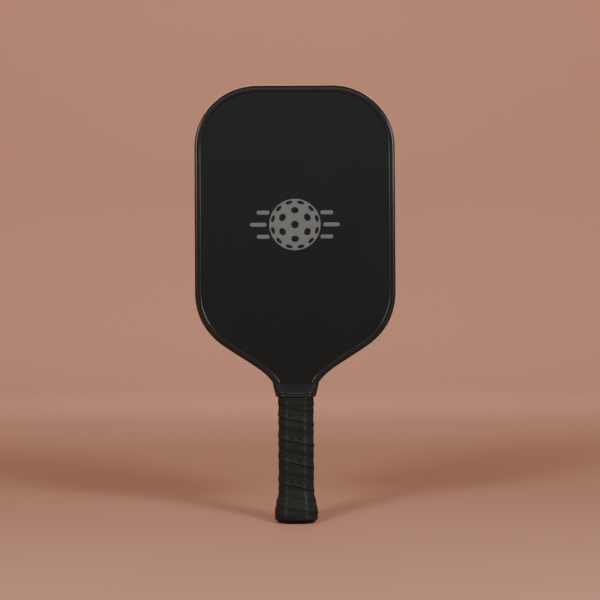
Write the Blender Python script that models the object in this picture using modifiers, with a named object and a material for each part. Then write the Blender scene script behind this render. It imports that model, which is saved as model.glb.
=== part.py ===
"""Elongated pickleball paddle: honeycomb core, carbon face sheets, edge guard, wrapped handle.

The paddle stands on its butt. +Z runs up the handle to the top of the head, X is the width of the
head, and the front face looks along -Y. The origin is the centre of the butt's end face.
Every size is in metres. Each part keeps GAP to the part that it is bonded to or rests on.
"""

import math

import bmesh
import bpy
from mathutils import Vector

GAP = 0.0003

# Head outline, right half, from the top centre down to the neck: (x, z) of the outer edge.
TOTAL_LENGTH = 0.4180
HEAD_HALF_WIDTH = 0.09585
CORNER_START = Vector((0.0350, TOTAL_LENGTH))
CORNER_END = Vector((HEAD_HALF_WIDTH, 0.3584))
SIDE_END = Vector((HEAD_HALF_WIDTH, 0.2213))
SHOULDER_END = Vector((0.0666, 0.1677))
THROAT_END = Vector((0.0226, 0.1351))
GUARD_END = Vector((0.0190, 0.1290))
# How far each of those points leans from straight down, in degrees, and its handle lengths.
SHOULDER_LEAN, THROAT_LEAN, GUARD_END_LEAN = 56.4, 37.3, 24.0
CORNER_HANDLES = (0.0351, 0.0328)
SHOULDER_HANDLES = (0.0303, 0.0142)
THROAT_HANDLES = (0.0294, 0.0150)
NECK_HANDLES = (0.0024, 0.0024)

# Panel: the core between two scrims and two face sheets, with a tongue down the handle.
PANEL_THICKNESS = 0.0160
SHEET_THICKNESS = 0.0006
SCRIM_THICKNESS = 0.0002
PANEL_INSET = 0.0028
TONGUE_HALF_WIDTH = 0.0104
TONGUE_TOP = 0.1248
TONGUE_BOTTOM = 0.0037
CELL_ACROSS_FLATS = 0.0140
CELL_WALL = 0.0005
CORE_RIM = 0.0010
SMALLEST_CELL_SHARE = 0.2

# Edge guard: a U channel over the panel's edge, bonded with a tape along its web.
GUARD_WEB = 0.0018
GUARD_LIP = 0.0011
GUARD_REACH = 0.0063
GUARD_EDGE_RADIUS, GUARD_EDGE_STEPS = 0.0032, 4
GUARD_LIP_RADIUS, GUARD_LIP_STEPS = 0.0005, 2
TAPE_THICKNESS = 0.0004
TAPE_HALF_WIDTH = 0.0065

# Handle: two half shells round the tongue make a bare octagon.
HANDLE_HALF_WIDTH = 0.0149
HANDLE_HALF_DEPTH = 0.01285
HANDLE_CHAMFER = 0.0070
HANDLE_TOP = 0.1240
TANG_HALF_WIDTH = 0.0102
TANG_TOP = 0.1328
TANG_TOP_HALF_DEPTH = 0.0090
TANG_OVERLAP = 0.0100
RAMP_CUTTER_WIDTH, RAMP_CUTTER_THICKNESS = 0.0600, 0.0200

# Butt cap: a cup on the handle's end that flares under the grip.
CAP_TOP = 0.0240
CAP_FLOOR = 0.0033
CAP_RIM_TOP = 0.0029
CAP_RIM_RISE = 0.0042
CAP_RIM_RUN = 0.0065
CAP_FOOT_OFFSET = -0.0018
CAP_SEAT_OFFSET = 0.0033
CAP_RIM_STEPS = 4
CAP_SKIRT_BOTTOM = 0.0060
CAP_SKIRT_STEPS = 6
FLARE = 0.0038
FLARE_WIDEST = 0.0080
FLARE_END = 0.0330
BADGE_RADIUS = 0.0080
BADGE_THICKNESS = 0.0008
BADGE_RECESS = 0.0014
DISC_SIDES = 32

# Staples through the cap's skirt into the half shells.
STAPLE_Z = 0.0190
STAPLE_HALF_CROWN = 0.0045
STAPLE_WIRE = 0.00045
STAPLE_CROWN_Y = 0.0142
STAPLE_TIP_Y = 0.0090
STAPLE_TIP_CLEARANCE = 0.0005
STAPLE_HOLE_DEPTH = 0.0120
STAPLE_POCKET_DEPTH = 0.0040
STAPLE_HOLE_SIDES = 12

# Grip, finishing tape and collar.
GRIP_THICKNESS = 0.0020
GRIP_BOTTOM = 0.0032
GRIP_TOP = 0.1238
GRIP_FLARE_STEPS = 8
# The grip's rounded lower edge: how far it stands out from the handle at two heights.
GRIP_HEM_OFFSET = 0.0049
GRIP_EDGE_OFFSET, GRIP_EDGE_Z = 0.0058, 0.0045
FINISH_BOTTOM, FINISH_TOP = 0.1214, 0.1240
FINISH_THICKNESS = 0.00035
SECTION_ROUNDING = 0.0016
# Collar outside: (z, half width, half depth, chamfer, wall), from its lower rim to its top.
COLLAR_STATIONS = (
    (0.1210, 0.01945, 0.01745, 0.00965, 0.0012),
    (0.1217, 0.01960, 0.01760, 0.00975, 0.0013),
    (0.1244, 0.02015, 0.01745, 0.00930, 0.0012),
    (0.1270, 0.02070, 0.01540, 0.00740, 0.0012),
    (0.1295, 0.02125, 0.01310, 0.00460, 0.0012),
    (0.1315, 0.02170, 0.01140, 0.00280, 0.0008),
    (0.1334, 0.02210, 0.01010, 0.00160, 0.0004),
)

BLACK = (0.012, 0.012, 0.012)
CHARCOAL = (0.020, 0.020, 0.021)


def clear_scene():
    for obj in list(bpy.data.objects):
        bpy.data.objects.remove(obj, do_unlink=True)


def new_collection(name):
    collection = bpy.data.collections.new(name)
    bpy.context.scene.collection.children.link(collection)
    return collection


def material(name, colour, roughness, metallic=0.0):
    made = bpy.data.materials.new(name)
    made.use_nodes = True
    shader = made.node_tree.nodes["Principled BSDF"]
    shader.inputs["Base Color"].default_value = (*colour, 1.0)
    shader.inputs["Roughness"].default_value = roughness
    shader.inputs["Metallic"].default_value = metallic
    return made


def add_object(name, data, collection, finish=None):
    obj = bpy.data.objects.new(name, data)
    collection.objects.link(obj)
    if finish is not None:
        data.materials.append(finish)
    return obj


def add_cutter(obj, collection):
    """Keeps a helper out of the model."""
    for owner in list(obj.users_collection):
        owner.objects.unlink(obj)
    collection.objects.link(obj)
    obj.hide_render = True
    obj.display_type = "WIRE"


def add_boolean(target, tool, operation):
    modifier = target.modifiers.new(tool.name, "BOOLEAN")
    modifier.operation = operation
    modifier.object = tool


def shade_round(obj, angle=35.0):
    obj.data.shade_smooth()
    obj.data.set_sharp_from_angle(angle=math.radians(angle))


# ---- outlines -------------------------------------------------------------------------------


def bezier(start, start_handle, end_handle, end, steps):
    """Points along one cubic stretch, without its first point."""
    points = []
    for step in range(1, steps + 1):
        t = step / steps
        s = 1 - t
        from_start = start * s**3 + start_handle * (3 * s * s * t)
        points.append(from_start + end_handle * (3 * s * t * t) + end * t**3)
    return points


def leaning(angle):
    """The direction down the right side that leans inwards by this angle from straight down."""
    return Vector((-math.sin(math.radians(angle)), -math.cos(math.radians(angle))))


def head_outline():
    """The head's outer edge, clockwise from the left end at the neck to the right end."""
    down = Vector((0, -1))
    shoulder, throat, neck = map(leaning, (SHOULDER_LEAN, THROAT_LEAN, GUARD_END_LEAN))
    stretches = (
        (CORNER_START, Vector((1, 0)), CORNER_END, down, CORNER_HANDLES, 12),
        (SIDE_END, down, SHOULDER_END, shoulder, SHOULDER_HANDLES, 9),
        (SHOULDER_END, shoulder, THROAT_END, throat, THROAT_HANDLES, 9),
        (THROAT_END, throat, GUARD_END, neck, NECK_HANDLES, 3),
    )
    right = [CORNER_START]
    for start, leaving, end, arriving, (out, back), steps in stretches:
        if (start - right[-1]).length > GAP:
            right.append(start)
        right += bezier(start, start + leaving * out, end - arriving * back, end, steps)
    left = [Vector((-point.x, point.y)) for point in reversed(right)]
    return left + right


def inset(points, distance):
    """A clockwise open outline moved inwards, square to itself."""
    moved = []
    for index, point in enumerate(points):
        arriving = (point - points[index - 1]).normalized() if index else None
        leaving = (points[index + 1] - point).normalized() if index + 1 < len(points) else None
        arriving, leaving = arriving or leaving, leaving or arriving
        along = (arriving + leaving).normalized()
        inwards = Vector((along.y, -along.x))
        moved.append(point + inwards * (distance / along.dot(leaving)))
    return moved


def panel_outline():
    """The panel's edge: the head inside its guard, closed by the tongue down the handle."""
    head = inset(head_outline(), PANEL_INSET)
    right = [Vector((TONGUE_HALF_WIDTH, TONGUE_TOP)), Vector((TONGUE_HALF_WIDTH, TONGUE_BOTTOM))]
    left = [Vector((-point.x, point.y)) for point in reversed(right)]
    return head + right + left


def octagon(half_width, half_depth, chamfer, rounding=SECTION_ROUNDING):
    """A section of the handle, anticlockwise: an octagon whose corners are rounded."""
    side, front = half_depth - chamfer, half_width - chamfer
    quarter = [(half_width, side), (front, half_depth)]
    half = quarter + [(-x, y) for x, y in reversed(quarter)]
    corners = [Vector(point) for point in half + [(-x, -y) for x, y in half]]
    points = []
    for index, corner in enumerate(corners):
        before = corners[index - 1] - corner
        after = corners[(index + 1) % len(corners)] - corner
        reach = min(rounding, 0.4 * before.length, 0.4 * after.length)
        start = corner + before.normalized() * reach
        end = corner + after.normalized() * reach
        points += [start, (start + end + corner * 2) / 4, end]
    return points


def handle_section(offset):
    """The bare handle's octagon grown by an offset that is the same on every side."""
    chamfer = HANDLE_CHAMFER + offset * (2 - math.sqrt(2))
    return octagon(HANDLE_HALF_WIDTH + offset, HANDLE_HALF_DEPTH + offset, chamfer)


def flare_at(z):
    """How far the butt cap stands out from the bare handle at a height."""
    share = (max(z, FLARE_WIDEST) - FLARE_WIDEST) / (FLARE_END - FLARE_WIDEST)
    return FLARE * (1 + math.cos(math.pi * min(share, 1.0))) / 2


# ---- ways to make a part --------------------------------------------------------------------


def add_spline(curve, points, cyclic=True):
    spline = curve.splines.new("POLY")
    spline.points.add(len(points) - 1)
    for target, point in zip(spline.points, points):
        target.co = (*point.to_3d(), 1.0)
    spline.use_cyclic_u = cyclic


def new_curve(name, dimensions="2D"):
    curve = bpy.data.curves.new(name, "CURVE")
    curve.dimensions = dimensions
    return curve


def plate(name, outlines, thickness, y, collection, finish):
    """A flat plate facing -Y. The first outline is its edge and the others are holes in it."""
    curve = new_curve(name)
    curve.fill_mode = "BOTH"
    curve.extrude = thickness / 2
    for outline in outlines:
        add_spline(curve, outline)
    obj = add_object(name, curve, collection, finish)
    obj.location.y = y
    obj.rotation_euler.x = math.pi / 2
    return obj


def prism(name, outline, bottom, top, collection, finish):
    """A section in X and Y carried from one height to another, as a mesh that can be cut."""
    curve = new_curve(name)
    curve.fill_mode = "BOTH"
    curve.extrude = (top - bottom) / 2
    add_spline(curve, outline)
    obj = add_object(name + "_curve", curve, collection, finish)
    obj.location.z = (top + bottom) / 2
    return mesh_of(name, obj, collection)


def mesh_of(name, curve_object, collection):
    """Replaces a curve object with the welded mesh that it makes."""
    bpy.context.view_layer.update()
    graph = bpy.context.evaluated_depsgraph_get()
    mesh = bpy.data.meshes.new_from_object(curve_object.evaluated_get(graph))
    sculpt = bmesh.new()
    sculpt.from_mesh(mesh)
    bmesh.ops.remove_doubles(sculpt, verts=sculpt.verts, dist=GAP / 100)
    sculpt.to_mesh(mesh)
    sculpt.free()
    obj = add_object(name, mesh, collection)
    obj.matrix_world = curve_object.matrix_world
    bpy.data.objects.remove(curve_object)
    return obj


def sweep(name, path, profile, collection, cutters, finish):
    """A closed profile carried along the head's outline. Profile x points outwards."""
    section = new_curve(name + "_profile")
    add_spline(section, [Vector((-point.x, point.y)) for point in profile])
    section_object = add_object(name + "_profile", section, cutters)
    add_cutter(section_object, cutters)
    curve = new_curve(name)
    curve.bevel_mode = "OBJECT"
    curve.bevel_object = section_object
    curve.use_fill_caps = True
    add_spline(curve, path, cyclic=False)
    obj = add_object(name, curve, collection, finish)
    obj.rotation_euler.x = math.pi / 2
    return obj


def loft(name, rings, hollow, collection, finish):
    """A skin over rings of (points, z). A hollow one joins its last ring to its first."""
    mesh = bpy.data.meshes.new(name)
    sculpt = bmesh.new()
    made = [[sculpt.verts.new((p.x, p.y, z)) for p in points] for points, z in rings]
    pairs = list(zip(made, made[1:]))
    if hollow:
        pairs.append((made[-1], made[0]))
    else:
        sculpt.faces.new(reversed(made[0]))
        sculpt.faces.new(made[-1])
    for lower, upper in pairs:
        for index in range(len(lower)):
            after = (index + 1) % len(lower)
            sculpt.faces.new((lower[index], lower[after], upper[after], upper[index]))
    sculpt.to_mesh(mesh)
    sculpt.free()
    obj = add_object(name, mesh, collection, finish)
    shade_round(obj)
    return obj


# ---- the panel ------------------------------------------------------------------------------


def area(polygon):
    crosses = (a.x * b.y - b.x * a.y for a, b in zip(polygon, polygon[1:] + polygon[:1]))
    return abs(sum(crosses)) / 2


def is_inside(point, outline):
    """Whether a point lies inside a closed outline, by counting the edges above it."""
    crossings = 0
    for a, b in zip(outline, outline[1:] + outline[:1]):
        if (a.x > point.x) != (b.x > point.x):
            height = a.y + (point.x - a.x) / (b.x - a.x) * (b.y - a.y)
            crossings += height > point.y
    return crossings % 2 == 1


def trimmed(polygon, on_edge, inwards):
    """The part of a polygon on the inner side of a straight edge."""
    kept = []
    for a, b in zip(polygon, polygon[1:] + polygon[:1]):
        depth_a = (a - on_edge).dot(inwards)
        depth_b = (b - on_edge).dot(inwards)
        if depth_a >= 0:
            kept.append(a)
        if depth_a * depth_b < 0:
            kept.append(a.lerp(b, depth_a / (depth_a - depth_b)))
    return kept


def distance_to(point, a, b):
    share = max(0.0, min(1.0, (point - a).dot(b - a) / (b - a).length_squared))
    return (point - a.lerp(b, share)).length


def without_short_edges(polygon):
    return [b for a, b in zip(polygon[-1:] + polygon[:-1], polygon) if (a - b).length > GAP]


def hexagon(centre, across_flats):
    radius = across_flats / math.sqrt(3)
    turns = [math.radians(60 * side) for side in range(6)]
    return [centre + Vector((math.cos(turn), math.sin(turn))) * radius for turn in turns]


def honeycomb_cells(outline):
    """The open cells of the core. Those that meet the rim are cut back to leave it whole."""
    hole = CELL_ACROSS_FLATS - CELL_WALL
    radius = hole / math.sqrt(3)
    column = CELL_ACROSS_FLATS * math.sqrt(3) / 2
    columns = math.ceil(HEAD_HALF_WIDTH / column)
    rows = math.ceil(TOTAL_LENGTH / CELL_ACROSS_FLATS)
    edges = list(zip(outline, outline[1:] + outline[:1]))
    cells = []
    for i in range(-columns, columns + 1):
        for j in range(rows + 1):
            centre = Vector((i * column, (j + i % 2 / 2) * CELL_ACROSS_FLATS))
            near = [(a, b) for a, b in edges if distance_to(centre, a, b) < radius]
            if not near and not is_inside(centre, outline):
                continue
            cell = hexagon(centre, hole)
            for a, b in near:
                along = (b - a).normalized()
                cell = trimmed(cell, a, Vector((along.y, -along.x)))
            cell = without_short_edges(cell)
            full = area(hexagon(centre, hole))
            if len(cell) > 2 and area(cell) > SMALLEST_CELL_SHARE * full:
                cells.append(cell)
    return cells


def rim_of(outline):
    """The core's outline moved in by its rim."""
    head = outline[:-4]
    right = [
        Vector((TONGUE_HALF_WIDTH - CORE_RIM, TONGUE_TOP)),
        Vector((TONGUE_HALF_WIDTH - CORE_RIM, TONGUE_BOTTOM + CORE_RIM)),
    ]
    left = [Vector((-point.x, point.y)) for point in reversed(right)]
    return inset(head, CORE_RIM) + right + left


def make_panel(collection):
    outline = panel_outline()
    cells = honeycomb_cells(rim_of(outline))
    carbon = material("carbon_laminate", BLACK, 0.55)
    veil = material("polyester_scrim", (0.70, 0.70, 0.68), 0.9)
    polymer = material("polypropylene", (0.78, 0.78, 0.76), 0.5)
    sheet_y = PANEL_THICKNESS / 2 - SHEET_THICKNESS / 2
    scrim_y = sheet_y - SHEET_THICKNESS / 2 - GAP - SCRIM_THICKNESS / 2
    core_thickness = 2 * (scrim_y - SCRIM_THICKNESS / 2 - GAP)
    plate("honeycomb_core", [outline] + cells, core_thickness, 0.0, collection, polymer)
    for side, name in ((-1, "front"), (1, "rear")):
        sheet = name + "_face_sheet"
        plate(sheet, [outline], SHEET_THICKNESS, side * sheet_y, collection, carbon)
        plate(name + "_scrim", [outline], SCRIM_THICKNESS, side * scrim_y, collection, veil)


# ---- the edge guard -------------------------------------------------------------------------


def arc(centre_x, centre_y, radius, start, end, steps):
    turns = [math.radians(start + (end - start) * step / steps) for step in range(steps + 1)]
    return [Vector((centre_x + radius * math.cos(t), centre_y + radius * math.sin(t))) for t in turns]


def guard_profile():
    """A U channel. Its outer edge is at x 0, and its lips reach in over the panel."""
    inner_y = PANEL_THICKNESS / 2 + GAP
    outer_y = inner_y + GUARD_LIP
    edge, lip = GUARD_EDGE_RADIUS, GUARD_LIP_RADIUS
    upper = arc(-edge, outer_y - edge, edge, 0, 90, GUARD_EDGE_STEPS)
    upper += arc(-GUARD_REACH + lip, outer_y - lip, lip, 90, 180, GUARD_LIP_STEPS)
    upper += [Vector((-GUARD_REACH, inner_y)), Vector((-GUARD_WEB, inner_y))]
    return upper + [Vector((point.x, -point.y)) for point in reversed(upper)]


def make_guard(collection, cutters):
    path = head_outline()
    guard_plastic = material("guard_plastic", CHARCOAL, 0.3)
    sweep("edge_guard", path, guard_profile(), collection, cutters, guard_plastic)
    outer, inner = -GUARD_WEB - GAP, -GUARD_WEB - GAP - TAPE_THICKNESS
    half = TAPE_HALF_WIDTH
    strip = [Vector(p) for p in ((outer, -half), (outer, half), (inner, half), (inner, -half))]
    bond = material("bond_tape", (0.75, 0.72, 0.62), 0.8)
    sweep("guard_bond_tape", path, strip, collection, cutters, bond)


# ---- the handle -----------------------------------------------------------------------------


def shell_section(side):
    """Half of the bare octagon with a channel for half of the tongue. Side is -1 at the front."""
    channel_x, channel_y = TONGUE_HALF_WIDTH + GAP, PANEL_THICKNESS / 2 + GAP
    half = [
        (HANDLE_HALF_WIDTH, GAP / 2),
        (HANDLE_HALF_WIDTH, HANDLE_HALF_DEPTH - HANDLE_CHAMFER),
        (HANDLE_HALF_WIDTH - HANDLE_CHAMFER, HANDLE_HALF_DEPTH),
    ]
    channel = [(channel_x, channel_y), (channel_x, GAP / 2)]
    outside = half + [(-x, y) for x, y in reversed(half)]
    inside = [(-x, y) for x, y in reversed(channel)] + channel
    return [Vector((x, side * y)) for x, y in outside + inside]


def tang_section(side):
    """The shell's upper end, which lies on the panel between the lips of the guard."""
    slope_y = HANDLE_HALF_DEPTH - (TANG_HALF_WIDTH - HANDLE_HALF_WIDTH + HANDLE_CHAMFER)
    half = [
        (TANG_HALF_WIDTH, PANEL_THICKNESS / 2 + GAP),
        (TANG_HALF_WIDTH, slope_y),
        (HANDLE_HALF_WIDTH - HANDLE_CHAMFER, HANDLE_HALF_DEPTH),
    ]
    return [Vector((x, side * y)) for x, y in half + [(-x, y) for x, y in reversed(half)]]


def make_ramp_cutter(side, cutters):
    """A slab whose underside is the slope that the shell's upper end runs out on."""
    rise = TANG_TOP - HANDLE_TOP
    fall = HANDLE_HALF_DEPTH - TANG_TOP_HALF_DEPTH
    angle = math.atan2(fall, rise)
    bpy.ops.mesh.primitive_cube_add(size=1)
    slab = bpy.context.object
    slab.name = "ramp_cutter" + str(side)
    slab.scale = (RAMP_CUTTER_WIDTH, RAMP_CUTTER_THICKNESS, RAMP_CUTTER_WIDTH)
    slab.rotation_euler.x = side * angle
    outwards = Vector((0, side * math.cos(angle), math.sin(angle)))
    corner = Vector((0, side * HANDLE_HALF_DEPTH, HANDLE_TOP))
    slab.location = corner + outwards * RAMP_CUTTER_THICKNESS / 2
    add_cutter(slab, cutters)
    return slab


def make_leg_cutters(side, cutters):
    """Clearance holes for a staple's two legs, and a pocket for its crown."""
    tools = []
    reach = STAPLE_WIRE + GAP
    hole_y = STAPLE_TIP_Y - STAPLE_TIP_CLEARANCE + STAPLE_HOLE_DEPTH / 2
    for end in (-1, 1):
        bpy.ops.mesh.primitive_cylinder_add(
            vertices=STAPLE_HOLE_SIDES, radius=reach, depth=STAPLE_HOLE_DEPTH
        )
        hole = bpy.context.object
        hole.name = f"staple_hole{side}{end}"
        hole.rotation_euler.x = math.pi / 2
        hole.location = (end * STAPLE_HALF_CROWN, side * hole_y, STAPLE_Z)
        tools.append(hole)
    bpy.ops.mesh.primitive_cube_add(size=1)
    pocket = bpy.context.object
    pocket.name = f"staple_pocket{side}"
    pocket.scale = (2 * (STAPLE_HALF_CROWN + reach), STAPLE_POCKET_DEPTH, 2 * reach)
    pocket.location = (0, side * (STAPLE_CROWN_Y - reach + STAPLE_POCKET_DEPTH / 2), STAPLE_Z)
    tools.append(pocket)
    for tool in tools:
        add_cutter(tool, cutters)
    return tools


def make_shell(name, side, collection, cutters, staple_tools):
    foam = material(name + "_foam", (0.16, 0.16, 0.17), 0.85)
    shell = prism(name, shell_section(side), TONGUE_BOTTOM, HANDLE_TOP, collection, foam)
    tang_bottom = HANDLE_TOP - TANG_OVERLAP
    tang = prism(name + "_tang", tang_section(side), tang_bottom, TANG_TOP, cutters, foam)
    add_cutter(tang, cutters)
    add_boolean(shell, tang, "UNION")
    add_boolean(shell, make_ramp_cutter(side, cutters), "DIFFERENCE")
    for tool in staple_tools[:2]:
        add_boolean(shell, tool, "DIFFERENCE")
    shade_round(shell)


def cap_rings():
    """The butt cap from its foot, up over the rim and the flare, and down inside to its floor."""
    rings = []
    for step in range(CAP_RIM_STEPS + 1):
        z = CAP_RIM_TOP * (step / CAP_RIM_STEPS) ** 2
        bulge = math.sqrt(1 - (1 - z / CAP_RIM_RISE) ** 2)
        rings.append((handle_section(CAP_FOOT_OFFSET + CAP_RIM_RUN * bulge), z))
    rings.append((handle_section(CAP_SEAT_OFFSET), CAP_RIM_TOP))
    for step in range(CAP_SKIRT_STEPS + 1):
        z = CAP_SKIRT_BOTTOM + (CAP_TOP - CAP_SKIRT_BOTTOM) * step / CAP_SKIRT_STEPS
        rings.append((handle_section(flare_at(z)), z))
    rings.append((handle_section(GAP), CAP_TOP))
    rings.append((handle_section(GAP), CAP_FLOOR))
    return rings


def make_cap(collection, cutters, staple_tools):
    rubbery = material("cap_plastic", CHARCOAL, 0.45)
    cap = loft("butt_cap", cap_rings(), False, collection, rubbery)
    bpy.ops.mesh.primitive_cylinder_add(
        vertices=DISC_SIDES, radius=BADGE_RADIUS + GAP, depth=2 * BADGE_RECESS
    )
    recess = bpy.context.object
    recess.name = "badge_recess"
    add_cutter(recess, cutters)
    for tool in [recess] + staple_tools:
        add_boolean(cap, tool, "DIFFERENCE")


def make_badge(collection):
    """A blank domed disc in the butt's recess, its face a little inside the foot."""
    top = BADGE_RECESS - GAP
    bottom = top - BADGE_THICKNESS
    edge = BADGE_THICKNESS / 2
    profile = [(0, top), (BADGE_RADIUS, top), (BADGE_RADIUS, bottom + edge)]
    profile += [(BADGE_RADIUS - edge, bottom), (0, bottom)]
    mesh = bpy.data.meshes.new("butt_badge")
    edges = [(index, index + 1) for index in range(len(profile) - 1)]
    mesh.from_pydata([(x, 0, z) for x, z in profile], edges, [])
    badge = add_object("butt_badge", mesh, collection, material("badge_film", CHARCOAL, 0.25))
    turn = badge.modifiers.new("turn", "SCREW")
    turn.steps = turn.render_steps = DISC_SIDES
    turn.use_merge_vertices = True
    turn.merge_threshold = GAP / 10


def make_staple(name, side, collection):
    steel = material(name + "_steel", (0.6, 0.6, 0.6), 0.35, 1.0)
    curve = new_curve(name, "3D")
    curve.bevel_depth = STAPLE_WIRE
    curve.bevel_resolution = 2
    curve.use_fill_caps = True
    bend = 2 * STAPLE_WIRE
    half = [
        (STAPLE_HALF_CROWN, STAPLE_TIP_Y),
        (STAPLE_HALF_CROWN, STAPLE_CROWN_Y - bend),
        (STAPLE_HALF_CROWN - bend * 0.3, STAPLE_CROWN_Y - bend * 0.3),
        (STAPLE_HALF_CROWN - bend, STAPLE_CROWN_Y),
    ]
    line = half + [(-x, y) for x, y in reversed(half)]
    points = [Vector((x, side * y, STAPLE_Z)) for x, y in line]
    add_spline(curve, points, cyclic=False)
    add_object(name, curve, collection, steel)


# ---- grip, finishing tape and collar --------------------------------------------------------


def grip_rings():
    """The wrapped grip as one sleeve: up its outside, then down its inside."""
    rise = (FLARE_END - FLARE_WIDEST) / GRIP_FLARE_STEPS
    heights = [FLARE_WIDEST + rise * step for step in range(GRIP_FLARE_STEPS + 1)] + [GRIP_TOP]
    outer = [(handle_section(GRIP_HEM_OFFSET), GRIP_BOTTOM)]
    outer.append((handle_section(GRIP_EDGE_OFFSET), GRIP_EDGE_Z))
    outer += [(handle_section(flare_at(z) + GAP + GRIP_THICKNESS), z) for z in heights]
    inner = [(handle_section(flare_at(z) + GAP), z) for z in reversed(heights)]
    inner.append((handle_section(FLARE + GAP), GRIP_BOTTOM))
    return outer + inner


def make_grip(collection):
    leather = material("grip_leather", CHARCOAL, 0.6)
    loft("grip_wrap", grip_rings(), True, collection, leather)
    inner = handle_section(2 * GAP + GRIP_THICKNESS)
    outer = handle_section(2 * GAP + GRIP_THICKNESS + FINISH_THICKNESS)
    rings = [(outer, FINISH_BOTTOM), (outer, FINISH_TOP), (inner, FINISH_TOP), (inner, FINISH_BOTTOM)]
    vinyl = material("finishing_vinyl", BLACK, 0.4)
    loft("grip_finishing_tape", rings, True, collection, vinyl)


def collar_section(half_width, half_depth, chamfer, wall):
    """A section of the collar, moved in by the wall."""
    return octagon(half_width - wall, half_depth - wall, chamfer - wall * (2 - math.sqrt(2)))


def make_collar(collection):
    rubber = material("collar_rubber", CHARCOAL, 0.5)
    outer = [(collar_section(w, d, c, 0.0), z) for z, w, d, c, _ in COLLAR_STATIONS]
    inner = [(collar_section(w, d, c, wall), z) for z, w, d, c, wall in COLLAR_STATIONS]
    loft("neck_collar", outer + inner[::-1], True, collection, rubber)


def main():
    clear_scene()
    paddle = new_collection("pickleball_paddle")
    cutters = new_collection("cutters")
    make_panel(paddle)
    make_guard(paddle, cutters)
    staple_tools = []
    for side, name in ((-1, "front"), (1, "rear")):
        tools = make_leg_cutters(side, cutters)
        make_shell("handle_shell_" + name, side, paddle, cutters, tools)
        make_staple("butt_staple_" + name, side, paddle)
        staple_tools += tools
    make_cap(paddle, cutters, staple_tools)
    make_badge(paddle)
    make_grip(paddle)
    make_collar(paddle)


main()
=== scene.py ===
"""Visual model of the pickleball paddle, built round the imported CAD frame.

Lengths are in metres and in the CAD's frame: +Z runs up the handle, X is the width of the head and
the front face looks along -Y.
"""

import math

import bmesh
import bpy
import numpy as np
from mathutils import Matrix, Vector


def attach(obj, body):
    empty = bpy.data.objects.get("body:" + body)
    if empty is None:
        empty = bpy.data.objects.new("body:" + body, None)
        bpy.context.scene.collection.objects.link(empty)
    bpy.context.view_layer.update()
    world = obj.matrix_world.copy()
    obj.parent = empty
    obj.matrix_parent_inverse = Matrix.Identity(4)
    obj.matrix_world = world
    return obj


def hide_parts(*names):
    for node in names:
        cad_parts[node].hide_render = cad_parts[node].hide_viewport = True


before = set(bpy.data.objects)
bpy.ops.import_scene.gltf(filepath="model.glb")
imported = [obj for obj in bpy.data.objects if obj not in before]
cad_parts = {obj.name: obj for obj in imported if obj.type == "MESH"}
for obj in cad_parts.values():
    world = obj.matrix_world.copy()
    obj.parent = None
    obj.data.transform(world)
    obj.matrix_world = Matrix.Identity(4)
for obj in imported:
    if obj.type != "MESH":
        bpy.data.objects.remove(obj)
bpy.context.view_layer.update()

MM = 0.001
TAU = 2 * math.pi


def show(name, data):
    """A new object that holds some data, in the scene."""
    obj = bpy.data.objects.new(name, data)
    bpy.context.scene.collection.objects.link(obj)
    return obj


# ---- camera -------------------------------------------------------------------------------------

CAMERA_HEIGHT = 0.213
CAMERA_DISTANCE = 1.597
CAMERA_SIDE = 0.00444
CAMERA_ROLL = math.radians(0.3)
LENS_MM, SENSOR_MM = 100.0, 36.0


def make_camera():
    """A level camera square to the front face, rolled a little."""
    data = bpy.data.cameras.new("camera")
    data.lens, data.sensor_width = LENS_MM, SENSOR_MM
    camera = show("camera", data)
    camera.matrix_world = (
        Matrix.Translation((CAMERA_SIDE, -CAMERA_DISTANCE, CAMERA_HEIGHT))
        @ Matrix.Rotation(math.pi / 2, 4, "X")
        @ Matrix.Rotation(-CAMERA_ROLL, 4, "Z")
    )
    bpy.context.scene.camera = camera


make_camera()

# ---- mesh helpers -------------------------------------------------------------------------------


def loft_faces(rings, count, closed=False):
    """Quads between successive rings of `count` points. A closed loft joins its ends."""
    faces = []
    for ring in range(rings if closed else rings - 1):
        a, b = ring * count, (ring + 1) % rings * count
        for i in range(count):
            j = (i + 1) % count
            faces.append((a + i, a + j, b + j, b + i))
    return faces


def loft(name, rings, smooth_angle, closed=False):
    """A skin over rings of points. Its ends are capped, or joined where it is closed."""
    count = len(rings[0])
    faces = loft_faces(len(rings), count, closed)
    if not closed:
        faces.append(tuple(range(count))[::-1])
        faces.append(tuple(range((len(rings) - 1) * count, len(rings) * count)))
    mesh = bpy.data.meshes.new(name)
    mesh.from_pydata([tuple(v) for v in np.concatenate(rings)], [], faces)
    mesh.validate()
    sculpt = bmesh.new()
    sculpt.from_mesh(mesh)
    bmesh.ops.recalc_face_normals(sculpt, faces=sculpt.faces)
    sculpt.to_mesh(mesh)
    sculpt.free()
    mesh.shade_smooth()
    mesh.set_sharp_from_angle(angle=math.radians(smooth_angle))
    return show(name, mesh)


def blend(a, b, share):
    return a * (1 - share) + b * share


def smoothstep(low, high, x):
    t = np.clip((x - low) / (high - low), 0.0, 1.0)
    return t * t * (3 - 2 * t)


def bump(centre, half_width, x):
    """A smooth hill of height 1."""
    t = np.clip(np.abs(x - centre) / half_width, 0.0, 1.0)
    return (1 + np.cos(math.pi * t)) / 2


def circle(radius, turn):
    return np.stack([np.cos(turn), np.sin(turn)], axis=1) * radius


def at_height(flat, z):
    """Points of a plane lifted to one height."""
    return np.concatenate([flat, np.full((len(flat), 1), z)], axis=1)


def belongs(piece, slot, *nodes):
    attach(piece, "root")
    if nodes:
        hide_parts(*nodes)


# ---- the head's outline, as in the CAD ----------------------------------------------------------

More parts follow.
